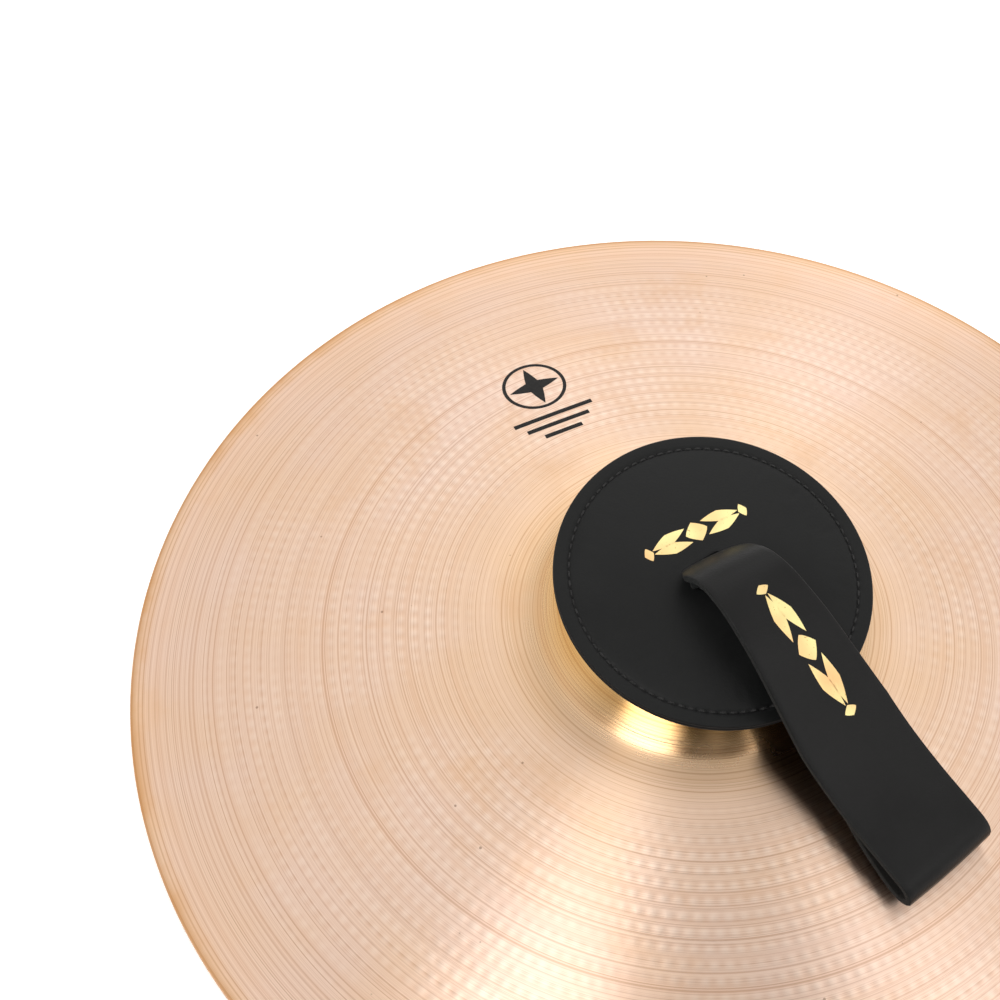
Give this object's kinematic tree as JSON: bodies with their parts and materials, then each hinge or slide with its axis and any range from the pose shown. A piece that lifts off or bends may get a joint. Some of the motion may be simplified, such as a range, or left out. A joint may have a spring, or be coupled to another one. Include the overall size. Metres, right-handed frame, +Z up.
{
  "type": "hand cymbal",
  "caption": "Orchestral hand cymbal: a lathed and hammered bronze plate with a domed bell, a round sewn leather pad and a leather hand strap knotted through the bell.",
  "frame": {"origin": "centre of the rim circle, on the surface that the cymbal lies on", "axes": "+Z up through the bell; +X the way the hand loop is laid down; +Y to the left of the loop"},
  "size_m": [0.4572, 0.4572, 0.0786],
  "materials": {
    "bronze": "lathed cast bronze, bare metal under a thin clear lacquer",
    "pad_leather": "smooth black full-grain leather, low sheen",
    "strap_leather": "smooth black strap leather, cut edges left raw",
    "felt": "pressed wool felt",
    "thread": "waxed black thread"
  },
  "bodies": {
    "cymbal": {"cymbal_plate": "bronze"},
    "strap": {"strap_stem": "strap_leather", "strap_knot": "strap_leather"},
    "pad": {"pad_bottom_leather": "pad_leather", "pad_felt_filling": "felt", "pad_top_leather": "pad_leather", "pad_stitching": "thread"},
    "grip": {"hand_loop": "strap_leather"},
    "tail_1": {"strap_tail_1": "strap_leather"},
    "tail_2": {"strap_tail_2": "strap_leather"},
    "tail_3": {"strap_tail_3": "strap_leather"},
    "tail_4": {"strap_tail_4": "strap_leather"}
  },
  "joints": [
    {"name": "strap_swivel", "type": "hinge", "parent": "cymbal", "child": "strap", "pos_m": [0, 0, 0.05], "axis": [0, 0, 1], "continuous": true},
    {"name": "loop_swing", "type": "hinge", "parent": "strap", "child": "grip", "pos_m": [0, 0, 0.06349], "axis": [0, -1, 0], "range_deg": [0, 110]},
    {"name": "pad_rock", "type": "hinge", "parent": "strap", "child": "pad", "pos_m": [0, 0, 0.05199], "axis": [0, -1, 0], "range_deg": [0, 7]},
    {"name": "tail_1_lift", "type": "hinge", "parent": "strap", "child": "tail_1", "pos_m": [0.01202, 0.01202, 0.03179], "axis": [0.7071, -0.7071, 0], "range_deg": [0, 15]},
    {"name": "tail_2_lift", "type": "hinge", "parent": "strap", "child": "tail_2", "pos_m": [-0.01202, 0.01202, 0.03179], "axis": [0.7071, 0.7071, 0], "range_deg": [0, 15]},
    {"name": "tail_3_lift", "type": "hinge", "parent": "strap", "child": "tail_3", "pos_m": [-0.01202, -0.01202, 0.03179], "axis": [-0.7071, 0.7071, 0], "range_deg": [0, 15]},
    {"name": "tail_4_lift", "type": "hinge", "parent": "strap", "child": "tail_4", "pos_m": [0.01202, -0.01202, 0.03179], "axis": [-0.7071, -0.7071, 0], "range_deg": [0, 15]}
  ],
  "couplings": [
    {"joint": "pad_rock", "follows": "loop_swing", "ratio": 0.06346}
  ]
}
